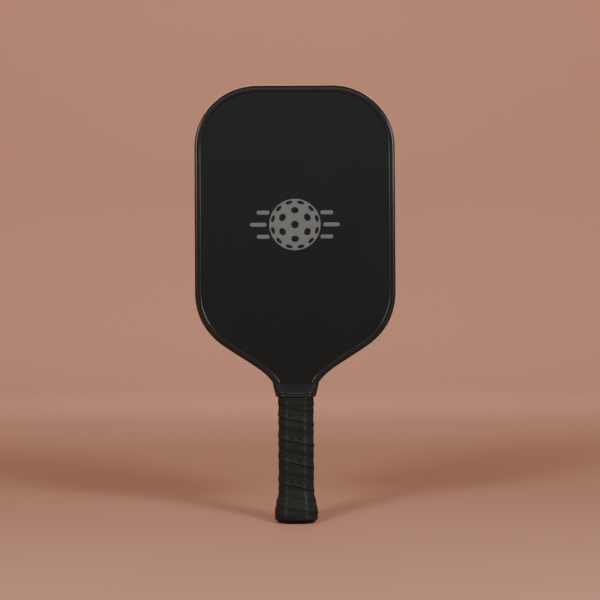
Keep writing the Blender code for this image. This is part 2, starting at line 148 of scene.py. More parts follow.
TOTAL_LENGTH = 0.4180
HEAD_HALF_WIDTH = 0.09585
CORNER_START = Vector((0.0350, TOTAL_LENGTH))
CORNER_END = Vector((HEAD_HALF_WIDTH, 0.3584))
SIDE_END = Vector((HEAD_HALF_WIDTH, 0.2213))
SHOULDER_END = Vector((0.0666, 0.1677))
THROAT_END = Vector((0.0226, 0.1351))
GUARD_END = Vector((0.0190, 0.1290))
SHOULDER_LEAN, THROAT_LEAN, GUARD_END_LEAN = 56.4, 37.3, 24.0
CORNER_HANDLES = (0.0351, 0.0328)
SHOULDER_HANDLES = (0.0303, 0.0142)
THROAT_HANDLES = (0.0294, 0.0150)
NECK_HANDLES = (0.0024, 0.0024)
OUTLINE_SPACING = 0.0016
ARC_OVER_CHORD = 1.1
LEAST_STEPS = 4


def leaning(angle):
    """The way down and left by an angle in degrees from straight down."""
    return Vector((-math.sin(math.radians(angle)), -math.cos(math.radians(angle))))


def stretch(start, leaving, end, arriving, handles):
    """Points and directions along one cubic stretch of the outline, evenly stepped."""
    near, far = start + leaving * handles[0], end - arriving * handles[1]
    p = [np.array(v) for v in (start, near, far, end)]
    length = (end - start).length * ARC_OVER_CHORD
    t = np.linspace(0, 1, max(LEAST_STEPS, round(length / OUTLINE_SPACING)) + 1)[:, None]
    s = 1 - t
    point = p[0] * s**3 + p[1] * 3 * s * s * t + p[2] * 3 * s * t * t + p[3] * t**3
    along = (p[1] - p[0]) * s * s + 2 * (p[2] - p[1]) * s * t + (p[3] - p[2]) * t * t
    return point, along / np.linalg.norm(along, axis=1)[:, None]


def head_outline():
    """The head's outer edge from the left neck over the top to the right neck, with directions."""
    down, across = Vector((0, -1)), Vector((1, 0))
    shoulder, throat, neck = map(leaning, (SHOULDER_LEAN, THROAT_LEAN, GUARD_END_LEAN))
    top = Vector((0, TOTAL_LENGTH))
    third = (CORNER_START - top).length / 3
    side = (SIDE_END - CORNER_END).length / 3
    stretches = (
        (top, across, CORNER_START, across, (third, third)),
        (CORNER_START, across, CORNER_END, down, CORNER_HANDLES),
        (CORNER_END, down, SIDE_END, down, (side, side)),
        (SIDE_END, down, SHOULDER_END, shoulder, SHOULDER_HANDLES),
        (SHOULDER_END, shoulder, THROAT_END, throat, THROAT_HANDLES),
        (THROAT_END, throat, GUARD_END, neck, NECK_HANDLES),
    )
    points, ways = [], []
    for index, piece in enumerate(stretches):
        point, along = stretch(*piece)
        points.append(point if index == 0 else point[1:])
        ways.append(along if index == 0 else along[1:])
    right, way = np.concatenate(points), np.concatenate(ways)
    left = (right * [-1, 1])[:0:-1]
    left_way = (way * [1, -1])[:0:-1]
    return np.concatenate([left, right]), np.concatenate([left_way, way])


# ---- edge guard ---------------------------------------------------------------------------------

PANEL_HALF = 0.0080
LIP_GAP, LIP_THICKNESS = 0.0003, 0.0011
LIP_INSIDE = PANEL_HALF + LIP_GAP
LIP_OUTSIDE = LIP_INSIDE + LIP_THICKNESS
GUARD_WEB = 0.0018
GUARD_REACH = 0.0063
GUARD_CUT = 0.1312
WEB_ROUND = 0.0034
WEB_CROWN = 0.00012
LIP_CREST, LIP_CREST_DROP, LIP_CREST_ROUND = 0.0009, 0.00003, 0.0016
LIP_TIP_DROP, LIP_TIP_ROUND = 0.00062, 0.00022
LIP_DRAFT, LIP_EDGE_ROUND, LIP_ROOT_ROUND = 0.0001, 0.00015, 0.0003
PROFILE_ROUND_STEPS = 10


def rounded(corners, steps):
    """A closed polygon of (x, y, radius) with each corner turned on its radius."""
    points = []
    for index, (x, y, radius) in enumerate(corners):
        corner = np.array((x, y))
        before = np.array(corners[index - 1][:2]) - corner
        after = np.array(corners[(index + 1) % len(corners)][:2]) - corner
        before, after = before / np.linalg.norm(before), after / np.linalg.norm(after)
        half = math.acos(max(-1.0, min(1.0, before @ after))) / 2
        reach = radius / math.tan(half)
        middle = corner + (before + after) / np.linalg.norm(before + after) * radius / math.sin(half)
        start = corner + before * reach - middle
        end = corner + after * reach - middle
        for step in range(steps + 1):
            mix = start * (1 - step / steps) + end * step / steps
            points.append(middle + mix / np.linalg.norm(mix) * radius)
    return np.array(points)


def guard_profile():
    """The guard's U section, with X outward from the head's edge and Y across its thickness."""
    # One leg's corners with their radii: web, crest, tip, inner edge and root.
    upper = [
        (0.0, LIP_OUTSIDE, WEB_ROUND),
        (-GUARD_REACH + LIP_CREST, LIP_OUTSIDE - LIP_CREST_DROP, LIP_CREST_ROUND),
        (-GUARD_REACH, LIP_OUTSIDE - LIP_TIP_DROP, LIP_TIP_ROUND),
        (-GUARD_REACH + LIP_DRAFT, LIP_INSIDE, LIP_EDGE_ROUND),
        (-GUARD_WEB, LIP_INSIDE, LIP_ROOT_ROUND),
    ]
    lower = [(x, -y, radius) for x, y, radius in reversed(upper)]
    profile = rounded(upper + lower, PROFILE_ROUND_STEPS)
    outside = profile[:, 0] > -GUARD_WEB / 2
    profile[outside, 0] -= WEB_CROWN * (profile[outside, 1] / LIP_OUTSIDE) ** 2
    return profile


def make_guard():
    path, way = head_outline()
    shown = path[:, 1] > GUARD_CUT
    path, way = path[shown], way[shown]
    outward = np.stack([-way[:, 1], way[:, 0]], axis=1)
    profile = guard_profile()
    rings = []
    for place, out in zip(path, outward):
        ring = np.zeros((len(profile), 3))
        ring[:, 0] = place[0] + out[0] * profile[:, 0]
        ring[:, 2] = place[1] + out[1] * profile[:, 0]
        ring[:, 1] = profile[:, 1]
        rings.append(ring)
    guard = loft("edge_guard_moulding", rings, smooth_angle=50.0)
    belongs(guard, "guard", "edge_guard")
    return guard


# ---- the handle's octagon -----------------------------------------------------------------------

SIDES = 8
SIDE_TURN = TAU / SIDES
HALF_WIDTH, HALF_DEPTH, CHAMFER = 0.0149, 0.01285, 0.0070
CORNER_RADIUS = 0.0064
MEAN_WRAP = 0.0023
FLARE, FLARE_WIDEST, FLARE_END = 0.0038, 0.0080, 0.0330


class Octagon:
    """Points round the handle's octagon, by share of its girth and by offset from its bare sides.

    Share 0 is the middle of the front facet, and shares rise towards the left (-X) side. Corners are
    rounded, and the girth is measured at the mean thickness of the wrap.
    """

    def __init__(self):
        w, d, c = HALF_WIDTH, HALF_DEPTH, CHAMFER
        front = [(-(w - c), -d), (-w, -(d - c))]
        left = front + [(x, -y) for x, y in reversed(front)]
        self.corner = np.array(left + [(-x, y) for x, y in reversed(left)])
        self.turn = -math.pi / 2 - np.arange(SIDES) * SIDE_TURN
        normal = circle(1, self.turn)
        after = np.roll(normal, -1, axis=0)
        self.miter = (normal + after) / (1 + (normal * after).sum(1))[:, None]
        corner = self.corner + self.miter * (MEAN_WRAP - CORNER_RADIUS)
        facet = np.linalg.norm(corner - np.roll(corner, 1, axis=0), axis=1)
        lengths = [facet[0] / 2]
        for index in range(SIDES):
            lengths += [CORNER_RADIUS * SIDE_TURN, facet[(index + 1) % SIDES]]
        lengths[-1] /= 2
        self.girth = sum(lengths)
        self.edge = np.concatenate([[0], np.cumsum(lengths)]) / self.girth

    def points(self, share, offset):
        """Places in X and Y for shares and offsets, which are arrays or plain numbers."""
        share, offset = np.broadcast_arrays(np.mod(share, 1.0), offset)
        last = 2 * SIDES
        stretch_no = np.clip(np.searchsorted(self.edge, share, side="right") - 1, 0, last)
        low, high = self.edge[stretch_no], self.edge[stretch_no + 1]
        local = (share - low) / (high - low)
        # Odd stretches are corners. The front facet is the first stretch and the last.
        is_arc = stretch_no % 2 == 1
        facet = (stretch_no + 1) // 2 % SIDES
        local = np.where(stretch_no == 0, 0.5 + local / 2, local)
        local = np.where(stretch_no == last, local / 2, local)
        inner = (offset - CORNER_RADIUS)[..., None]
        start_no = np.where(is_arc, (stretch_no - 1) // 2 % SIDES, (facet - 1) % SIDES)
        end_no = np.where(is_arc, start_no, facet)
        start = self.corner[start_no] + self.miter[start_no] * inner
        end = self.corner[end_no] + self.miter[end_no] * inner
        turn = np.where(is_arc, self.turn[start_no] - local * SIDE_TURN, self.turn[facet])
        normal = np.stack([np.cos(turn), np.sin(turn)], axis=-1)
        return blend(start, end, np.where(is_arc, 0.0, local)[..., None]) + normal * CORNER_RADIUS

    def chamfer_share(self, share):
        """1 on the chamfers, 0 on the four flats, easing over the corners."""
        share = np.mod(share, 1.0)
        value = np.zeros_like(share)
        for index in range(SIDES):
            start, end = self.edge[1 + 2 * index], self.edge[2 + 2 * index]
            value += smoothstep(start, end, share) * (1 if index % 2 == 0 else -1)
        return value


HANDLE = Octagon()


def flare_at(z):
    share = np.clip((z - FLARE_WIDEST) / (FLARE_END - FLARE_WIDEST), 0.0, 1.0)
    return FLARE * (1 + np.cos(math.pi * share)) / 2


# ---- grip strip ---------------------------------------------------------------------------------

SEAM_HEIGHTS = np.array([13.5, 34.6, 56.5, 77.1, 97.6, 116.8]) * MM
SPARE_TURNS = 3
SEAM_SOFTENING = 0.3
FRONT_SLOPE_GAIN = 0.15
STRIP_WIDTH, LEAST_WIDTH = 0.0270, 0.0004
STRIP_BOTTOM, STRIP_TOP = 0.0033, 0.1238
FIRST_TURN, LAST_TURN = -1.70, 5.30
SAMPLES_PER_TURN, SAMPLES_ACROSS, SAMPLES_UNDER = 270, 66, 10

# Places across the strip are counted down from its upper edge.
UNDER_LIFT, OVERLAP_LIFT, OVERLAP = 0.0001, 0.00050, (0.0214, 0.0262)
EDGE_THICKNESS = 0.0004
EDGE_ROUND, EDGE_DROP = 0.0010, 0.92
GROOVES, GROOVE_HALF = (0.0094, 0.0121, 0.0150), 0.0006
STRIP_SMOOTH, STRIP_PEBBLED = 0.60, (0.0140, 0.0185)
PORE_SPACING, PORE_RADIUS, PORE_DEPTH = 0.0077, 0.00075, 0.00055
PORE_FLOOR = 0.45
PORE_ROWS = ((0.0200, 1.0), (0.0237, 0.8))  # each row's level and size
DIMPLE, DIMPLE_DEPTH = (0.0004, 0.0021), 0.00016
UNEVENNESS = ((0.00007, 0.0090, 3), (0.00004, 0.0034, 5))  # rise, cell and seed
PEBBLES = (0.00004, 0.0016, 7)
NOISE_CELLS = 256

# Places up the handle are heights in the frame.
BUTT_WRAP, BUTT_EASE = 0.0022, (0.0090, 0.0220)
FOOT_ROUND, FOOT_DROP, FOOT_STEEPEST = 0.0016, 0.0013, 0.99
TUCK = 0.0061
TUCK_EASE = (TUCK - 0.0005, TUCK + 0.0020)
TOP_EASE = (0.1110, 0.1160)
TOP_LEVEL, TOP_SINK, TOP_SINK_EASE = 0.0027, 0.0006, (0.1100, 0.1195)
TOP_UNEVENNESS = 0.6
TOP_CORNERS, TOP_CORNERS_EASE = 0.0007, (0.1150, 0.1205)
UNDER_COLLAR, UNDER_COLLAR_EASE = 0.0019, (0.1205, 0.1213)
TOP_PRESS, TOP_PRESS_EASE = 0.6, (0.1195, 0.1212)

# Parts of the strip's outer surface: a shape, its rise and its two places or place and half width.
STRIP_RELIEF = (
    (smoothstep, 0.0013, 0.0, 0.0060),
    (bump, 0.00034, 0.0126, 0.0050),
    (bump, -0.00012, 0.0170, 0.0028),
    (smoothstep, 0.00008, 0.0170, 0.0200),
    (bump, 0.00016, 0.0255, 0.0017),
    (smoothstep, -0.00012, 0.0260, 0.0270),
) + tuple((bump, -0.00007, groove, GROOVE_HALF) for groove in GROOVES)


def seam_height(turn):
    """How high the strip's lower edge is after a number of turns, counted from the front."""
    index = np.arange(len(SEAM_HEIGHTS))
    low_pitch = SEAM_HEIGHTS[1] - SEAM_HEIGHTS[0]
    high_pitch = SEAM_HEIGHTS[-1] - SEAM_HEIGHTS[-2]
    turns = np.concatenate([[-SPARE_TURNS], index, [index[-1] + SPARE_TURNS]])
    lowest = SEAM_HEIGHTS[0] - SPARE_TURNS * low_pitch
    highest = SEAM_HEIGHTS[-1] + SPARE_TURNS * high_pitch
    heights = np.concatenate([[lowest], SEAM_HEIGHTS, [highest]])
    before = np.interp(turn - SEAM_SOFTENING, turns, heights)
    after = np.interp(turn + SEAM_SOFTENING, turns, heights)
    softened = (np.interp(turn, turns, heights) + (before + after) / 2) / 2
    return softened + FRONT_SLOPE_GAIN * (low_pitch / TAU) * np.sin(TAU * turn)


def strip_under(w):
    """How far the strip's underside stands off the handle, at w down from its upper edge."""
    return UNDER_LIFT + OVERLAP_LIFT * smoothstep(*OVERLAP, w)


def strip_thickness(w):
    full = EDGE_THICKNESS
    for shape, rise, first, second in STRIP_RELIEF:
        full = full + rise * shape(first, second, w)
    edge = np.clip((w - (STRIP_WIDTH - EDGE_ROUND)) / EDGE_ROUND, 0.0, 1.0)
    return full * np.sqrt(np.clip(1 - EDGE_DROP * edge**2, 0.0, 1.0))


def value_noise(u, v, cell, seed):
    """Smooth seeded noise from -1 to 1 over two lengths."""
    lattice = np.random.RandomState(seed).uniform(-1, 1, (NOISE_CELLS + 1, NOISE_CELLS + 1))
    u, v = u / cell, v / cell
    i, j = np.floor(u).astype(int), np.floor(v).astype(int)
    fu, fv = smoothstep(0.0, 1.0, u - i), smoothstep(0.0, 1.0, v - j)
    i, j = i % NOISE_CELLS, j % NOISE_CELLS
    low = blend(lattice[i, j], lattice[i + 1, j], fu)
    high = blend(lattice[i, j + 1], lattice[i + 1, j + 1], fu)
    return blend(low, high, fv)


def pore_field(along, w):
    """How far each point is in a pore and in the dimple round it."""
    pore, dimple = np.zeros_like(w), np.zeros_like(w)
    for row, (level, size) in enumerate(PORE_ROWS):
        cell = along / PORE_SPACING + row * 0.5
        sideways = (cell - np.round(cell)) * PORE_SPACING
        away = np.hypot(sideways, w - level)
        inside = 1 - smoothstep(PORE_FLOOR * PORE_RADIUS * size, PORE_RADIUS * size, away)
        pore = np.maximum(pore, inside)
        dimple = np.maximum(dimple, (1 - smoothstep(*DIMPLE, away)) * size)
    return pore, dimple


def strip_grid(turns, down):
    """Heights, and lengths down from the strip's upper edge, by turn and by share of the way down."""
    low = seam_height(turns)
    bottom = np.maximum(low, STRIP_BOTTOM)
    top = np.maximum(np.minimum(low + STRIP_WIDTH, STRIP_TOP), bottom + LEAST_WIDTH)
    z = top[:, None] + (bottom - top)[:, None] * down
    return z, low[:, None] + STRIP_WIDTH - z


def strip_skin(turns, z, raised):
    """Places on one side of the strip, which stands off the handle by `raised`."""
    flat = HANDLE.points(turns[:, None], raised + flare_at(z))
    return np.concatenate([flat, z[..., None]], axis=-1)


def strip_outside(turns, z, w):
    """How far the strip's outer side stands off the handle, with its pores and its pebbled share."""
    along = turns[:, None] * HANDLE.girth
    pebbled = STRIP_SMOOTH + (1 - STRIP_SMOOTH) * smoothstep(*STRIP_PEBBLED, w)
    uneven = sum(rise * value_noise(along, w, cell, seed) for rise, cell, seed in UNEVENNESS)
    rise, cell, seed = PEBBLES
    uneven += pebbled * rise * value_noise(along, w, cell, seed)
    pore, dimple = pore_field(along, w)
    raised = strip_under(w) + strip_thickness(w)
    raised = blend(np.minimum(raised, BUTT_WRAP), raised, smoothstep(*BUTT_EASE, z)) + uneven
    raised -= DIMPLE_DEPTH * dimple + PORE_DEPTH * pore
    foot = np.clip((STRIP_BOTTOM + FOOT_ROUND - z) / FOOT_ROUND, 0.0, 1.0)
    raised -= FOOT_DROP * (1 - np.sqrt(1 - FOOT_STEEPEST * foot**2))
    level = TOP_LEVEL - TOP_SINK * smoothstep(*TOP_SINK_EASE, z) + TOP_UNEVENNESS * uneven
    raised = blend(raised, level, smoothstep(*TOP_EASE, z) * smoothstep(*TUCK_EASE, w))
    corners = TOP_CORNERS * HANDLE.chamfer_share(turns[:, None])
    raised += corners * smoothstep(*TOP_CORNERS_EASE, z)
    pressed = np.minimum(raised, UNDER_COLLAR)
    return blend(raised, pressed, smoothstep(*UNDER_COLLAR_EASE, z)), pore, pebbled


def make_grip():
    turns = np.linspace(FIRST_TURN, LAST_TURN, round((LAST_TURN - FIRST_TURN) * SAMPLES_PER_TURN))
    z, w = strip_grid(turns, np.linspace(0, 1, SAMPLES_ACROSS))
    raised, pore, pebbled = strip_outside(turns, z, w)
    z_under, w_under = strip_grid(turns, np.linspace(1, 0, SAMPLES_UNDER))
    lift = strip_under(w_under) * (1 - smoothstep(*TOP_PRESS_EASE, z_under) * TOP_PRESS)
    skins = [strip_skin(turns, z, raised), strip_skin(turns, z_under, lift)]
    grip = loft("grip_strip", list(np.concatenate(skins, axis=1)), smooth_angle=60.0)
    for name, field in (("pore", pore), ("pebbled", pebbled)):
        values = np.concatenate([field, np.zeros_like(w_under)], axis=1).astype(np.float32)
        grip.data.attributes.new(name, "FLOAT", "POINT").data.foreach_set("value", values.ravel())
    belongs(grip, "grip", "grip_wrap")
    return grip


# ---- neck collar --------------------------------------------------------------------------------

COLLAR_BOTTOM, COLLAR_TOP = 0.1208, 0.1335
COLLAR_RISE = 0.1250
LOW_HALF_WIDTH, LOW_HALF_DEPTH, LOW_POWER = 0.01945, 0.01620, 2.7
LOW_BREAKS = (0.0, 0.0118, 0.0124, 0.0165, 0.0190)
# The top's quarter outline in millimetres: middle, recess edge, lip edge, corner, side.
HIGH_OUTLINE = ((0.0, 8.6), (14.9, 8.6), (15.5, 9.8), (18.6, 9.8), (22.05, 6.2), (22.05, 0.0))
QUARTER_STEPS = (22, 5, 12, 9, 14)
RISE_SAG = 0.10
EARLY_SPREAD, EARLY_DEPTH = 0.3, 0.25
SMOOTHING_ROUNDS = 8
COLLAR_WALL_LOW, COLLAR_WALL_HIGH = 0.0012, 0.0004
COLLAR_ROWS = 64
RIM_ROUND = 0.0005
TOP_EDGE, TOP_EDGE_DROP = 0.0004, 0.0002
BEAD_GROOVE, BEAD_GROOVE_HALF, BEAD_GROOVE_DEPTH = 0.1228, 0.0006, 0.00012
# Each bead's height, half width, and rise on the flats and more at the corners.
BEADS = ((0.1240, 0.0010, 0.00013, 0.00040), (0.1216, 0.0012, 0.00002, 0.00024))
BEADS_TOP, BEADS_FADE = 0.1249, 0.0006


def oval(x, half_x, half_y):
    """The other coordinate of a point on a squared oval."""
    return half_y * (1 - (x / half_x) ** LOW_POWER) ** (1 / LOW_POWER)


def low_quarter():
    """A rounded quarter outline, front middle to side middle, stepped like the top's outline."""
    front = [np.linspace(start, end, steps, endpoint=False)
             for start, end, steps in zip(LOW_BREAKS, LOW_BREAKS[1:], QUARTER_STEPS)]
    points = [(x, oval(x, LOW_HALF_WIDTH, LOW_HALF_DEPTH)) for x in np.concatenate(front)]
    last = oval(LOW_BREAKS[-1], LOW_HALF_WIDTH, LOW_HALF_DEPTH)
    for y in np.linspace(last, 0, QUARTER_STEPS[-1] + 1):
        points.append((oval(y, LOW_HALF_DEPTH, LOW_HALF_WIDTH), y))
    return np.array(points)


def high_quarter():
    """The top's quarter outline, with straight stretches between its corners."""
    points = []
    for start, end, steps in zip(HIGH_OUTLINE, HIGH_OUTLINE[1:], QUARTER_STEPS):
        points += [np.array(start) + (np.array(end) - start) * step / steps for step in range(steps)]
    return np.array(points + [HIGH_OUTLINE[-1]]) * MM


def whole_loop(quarter):
    """A closed outline from its front right quarter."""
    front = np.concatenate([(quarter * [-1, 1])[:0:-1], quarter])
    return np.concatenate([front * [1, -1], front[-2:0:-1]])


def collar_loop(z):
    """The collar's outline at a height: rounded below, spread over the guard's ends at the top."""
    across = (z - COLLAR_BOTTOM) / (COLLAR_TOP - COLLAR_BOTTOM)
    back = max(0.0, (z - COLLAR_RISE) / (COLLAR_TOP - COLLAR_RISE))
    back = back - RISE_SAG * math.sin(math.pi * back) * (1 - back)
    shape = min(1.0, across * EARLY_SPREAD + back * (1 - EARLY_SPREAD))
    depth = back * (1 - EARLY_DEPTH) + shape * EARLY_DEPTH
    low, high = low_quarter(), high_quarter()
    loop = whole_loop(low + (high - low) * np.array((across, depth)))
    for _ in range(SMOOTHING_ROUNDS):
        loop = (np.roll(loop, 1, axis=0) + loop * 2 + np.roll(loop, -1, axis=0)) / 4
    return loop


def collar_ring(z, out, corner_out=0.0):
    """The outline at a height moved outward, and further at its corners."""
    loop = collar_loop(z)
    along = np.roll(loop, -1, axis=0) - np.roll(loop, 1, axis=0)
    normal = np.stack([along[:, 1], -along[:, 0]], axis=1)
    normal /= np.linalg.norm(normal, axis=1)[:, None]
    normal *= np.sign((normal * loop).sum(1))[:, None]
    corner = np.abs(normal[:, 0] * normal[:, 1]) * 2
    return at_height(loop + normal * (out + corner_out * corner)[:, None], z)


def make_collar():
    outer, inner = [], []
    for z in np.linspace(COLLAR_BOTTOM, COLLAR_TOP, COLLAR_ROWS):
        share = (z - COLLAR_BOTTOM) / (COLLAR_TOP - COLLAR_BOTTOM)
        rim = min(0.0, (z - COLLAR_BOTTOM) / RIM_ROUND - 1)
        rim_drop = RIM_ROUND * (1 - math.sqrt(1 - rim**2))
        groove = BEAD_GROOVE_DEPTH * bump(BEAD_GROOVE, BEAD_GROOVE_HALF, z)
        beads = sum(rise * bump(height, half, z) for height, half, rise, _ in BEADS)
        corner_beads = sum(rise * bump(height, half, z) for height, half, _, rise in BEADS)
        high_edge = TOP_EDGE_DROP * smoothstep(COLLAR_TOP - TOP_EDGE, COLLAR_TOP, z)
        outer.append(collar_ring(z, beads - groove - rim_drop - high_edge, corner_beads))
        inner.append(collar_ring(z, -blend(COLLAR_WALL_LOW, COLLAR_WALL_HIGH, share)))
    collar = loft("neck_collar_sleeve", outer + inner[::-1], smooth_angle=50.0, closed=True)
    belongs(collar, "collar", "neck_collar")
    return collar


# ---- butt cap and badge -------------------------------------------------------------------------

CAP_TOP = 0.0240
CAP_POINTS = 192
CAP_FOOT = -0.0018
FOOT_ROLL_OUT, FOOT_ROLL_UP = 0.0058, 0.0040
FOOT_ROLL_STEPS, FOOT_ROLL_SHARE = 14, 0.82
CAP_SHELF = ((0.0034, 0.0031), (0.0030, 0.0033))  # offsets and heights under the strip's foot
SKIRT_BOTTOM, SKIRT_RINGS = 0.0060, 10
CAP_INSIDE, CAP_FLOOR = 0.0003, 0.0033
RECESS_DEPTH, RECESS_GAP = 0.0014, 0.0003
BADGE_RADIUS, BADGE_POINTS = 0.0080, 96
BADGE_LIFT = 0.0003
BADGE_EDGE, BADGE_EDGE_TOP, BADGE_EDGE_STEPS = 0.0004, 0.0005, 6
BADGE_DOME, BADGE_DOME_RINGS, PINPOINT = 0.0001, 10, 0.0001


def make_cap():
    """A cup with a flared skirt, a rolled foot and a round recess for the badge."""
    share = np.linspace(0, 1, CAP_POINTS, endpoint=False)
    turn = -math.pi / 2 - share * TAU
    foot = HANDLE.points(share, CAP_FOOT)
    recess, bevel = BADGE_RADIUS + RECESS_GAP, BADGE_RADIUS + 2 * RECESS_GAP
    circles = [(BADGE_RADIUS / 2, RECESS_DEPTH), (recess, RECESS_DEPTH)]
    circles += [(recess, RECESS_GAP), (bevel, 0.0)]
    rings = [at_height(circle(radius, turn), z) for radius, z in circles]
    rings += [at_height(blend(circle(bevel, turn), foot, mix), 0.0) for mix in (0.25, 0.5, 0.75)]

    outline = []
    for step in range(FOOT_ROLL_STEPS + 1):
        a = math.radians(90 * step / FOOT_ROLL_STEPS * FOOT_ROLL_SHARE)
        outline.append((CAP_FOOT + FOOT_ROLL_OUT * math.sin(a), FOOT_ROLL_UP * (1 - math.cos(a))))
    outline += CAP_SHELF
    outline += [(flare_at(z), z) for z in np.linspace(SKIRT_BOTTOM, CAP_TOP, SKIRT_RINGS)]
    outline += [(CAP_INSIDE, CAP_TOP), (CAP_INSIDE, CAP_FLOOR)]
    rings += [at_height(HANDLE.points(share, offset), z) for offset, z in outline]
    cap = loft("butt_cap_moulding", rings, smooth_angle=45.0)
    belongs(cap, "cap", "butt_cap")
    return cap


def make_badge():
    """A blank disc with a low dome and a rolled edge."""
    turn = np.linspace(0, TAU, BADGE_POINTS, endpoint=False)
    top, bottom = RECESS_DEPTH - BADGE_LIFT, BADGE_LIFT
    profile = [(PINPOINT, top), (BADGE_RADIUS, top)]
    for step in range(BADGE_EDGE_STEPS + 1):
        a = math.radians(90 * step / BADGE_EDGE_STEPS)
        radius = BADGE_RADIUS - BADGE_EDGE + BADGE_EDGE * math.cos(a)
        profile.append((radius, bottom + BADGE_EDGE_TOP - BADGE_EDGE * math.sin(a)))
    for radius in np.linspace(BADGE_RADIUS - 2 * BADGE_EDGE, PINPOINT, BADGE_DOME_RINGS):
        profile.append((radius, bottom + BADGE_DOME * (radius / BADGE_RADIUS) ** 2))
    rings = [at_height(circle(radius, turn), z) for radius, z in profile]
    badge = loft("butt_badge_disc", rings, smooth_angle=40.0)
    belongs(badge, "badge", "butt_badge")
    return badge


# ---- printed mark -------------------------------------------------------------------------------

MARK_CENTRE_Z = 0.2850
BALL_RADIUS = 0.0245
HOLE_RADIUS = 0.0036
HOLE_RINGS = ((6, 34.0, HOLE_RADIUS, 30.0), (12, 62.0, 0.0034, 15.0))  # count, lean, radius, start
BARS = ((0.0115, 0.0085), (0.0, 0.0120), (-0.0115, 0.0085))  # height and length
BAR_GAP, BAR_HALF, BAR_END_STEPS = 0.0045, 0.0019, 12
INK_THICKNESS = 0.00006
WELD_DISTANCE = 1e-6


def oval_points(x, z, across, along, turn=0.0, steps=40):
    points = []
    for step in range(steps):
        a = TAU * step / steps
        u, v = across * math.cos(a), along * math.sin(a)
        points.append((x + u * math.cos(turn) - v * math.sin(turn),
                       z + u * math.sin(turn) + v * math.cos(turn)))
    return points


def bar_points(x0, x1, z):
    points = []
    for centre, start in ((x1, -90), (x0, 90)):
        for step in range(BAR_END_STEPS + 1):
            a = math.radians(start + 180 * step / BAR_END_STEPS)
            points.append((centre + BAR_HALF * math.cos(a), z + BAR_HALF * math.sin(a)))
    return points


def ball_holes():
    """The holes of a plastic ball seen from the front, squashed towards its rim."""
    holes = [oval_points(0, 0, HOLE_RADIUS, HOLE_RADIUS)]
    for count, lean, size, start in HOLE_RINGS:
        far = BALL_RADIUS * math.sin(math.radians(lean))
        squash = size * math.cos(math.radians(lean))
        for index in range(count):
            turn = math.radians(start + 360 * index / count)
            holes.append(oval_points(far * math.cos(turn), far * math.sin(turn), squash, size, turn))
    return holes


def mark_outlines():
    outlines = [oval_points(0, 0, BALL_RADIUS, BALL_RADIUS, steps=120)] + ball_holes()
    for hand in (-1, 1):
        for z, length in BARS:
            near = math.sqrt(BALL_RADIUS**2 - z * z) + BAR_GAP
            outlines.append(bar_points(*sorted((hand * near, hand * (near + length))), z))
    return outlines


def make_mark(name, side):
    """A generic ball with holes between two sets of bars, printed on a face. Side is -1 in front."""
    curve = bpy.data.curves.new(name, "CURVE")
    curve.dimensions = "2D"
    curve.fill_mode = "BOTH"
    curve.extrude = INK_THICKNESS / 2
    for outline in mark_outlines():
        spline = curve.splines.new("POLY")
        spline.points.add(len(outline) - 1)
        for target, (x, z) in zip(spline.points, outline):
            target.co = (x, z, 0, 1)
        spline.use_cyclic_u = True
    holder = show(name + "_curve", curve)
    graph = bpy.context.evaluated_depsgraph_get()
    mesh = bpy.data.meshes.new_from_object(holder.evaluated_get(graph))
    bpy.data.objects.remove(holder)
    sculpt = bmesh.new()
    sculpt.from_mesh(mesh)
    bmesh.ops.remove_doubles(sculpt, verts=sculpt.verts, dist=WELD_DISTANCE)
    sculpt.to_mesh(mesh)
    sculpt.free()
    y = side * (PANEL_HALF + INK_THICKNESS / 2)
    upright = Matrix.Rotation(math.pi / 2, 4, "X")
    mesh.transform(Matrix.Translation((0, y, MARK_CENTRE_Z)) @ upright)
    mesh.name = name
    mark = show(name, mesh)
    belongs(mark, "face")
    return mark


# ---- materials ----------------------------------------------------------------------------------

COOL, MOSSY, WHITE = (0.70, 0.89, 1.0), (0.74, 0.90, 0.90), (1.0, 1.0, 1.0)  # of reflections
FACE_BLACKS = ((0.0054, 0.0066, 0.0070), (0.0062, 0.0076, 0.0081))
GUARD_BLACKS = ((0.0076, 0.0092, 0.0098), (0.0094, 0.0112, 0.0119))
GRIP_BLACKS = ((0.0048, 0.0064, 0.0067), (0.0074, 0.0096, 0.0099))
# Near-black painted into the pores: painted shade for the depth of the perforations, which the shallow
# dips don't give.
PORE_SHADE_BLACK = (0.004, 0.004, 0.004)
COLLAR_BLACKS = ((0.0118, 0.0131, 0.0134), (0.0134, 0.0150, 0.0153))
INK_GREYS = ((0.095, 0.111, 0.119), (0.114, 0.131, 0.140))
VEIL_GREYS = ((0.55, 0.55, 0.53), (0.75, 0.75, 0.73))
FOAM_GREYS = ((0.10, 0.10, 0.11), (0.19, 0.19, 0.20))
CORE_WHITES = ((0.66, 0.66, 0.63), (0.82, 0.82, 0.80))
PAPER_TANS = ((0.62, 0.58, 0.47), (0.78, 0.75, 0.66))
WEAVE_PITCH = 0.0007
BEAD_POLISH = 0.25
NOISE_SPREAD, TWO_NOISES_SPREAD = (0.3, 0.7), (0.7, 1.3)  # where most of the values lie
UNIT = (0.0, 1.0)


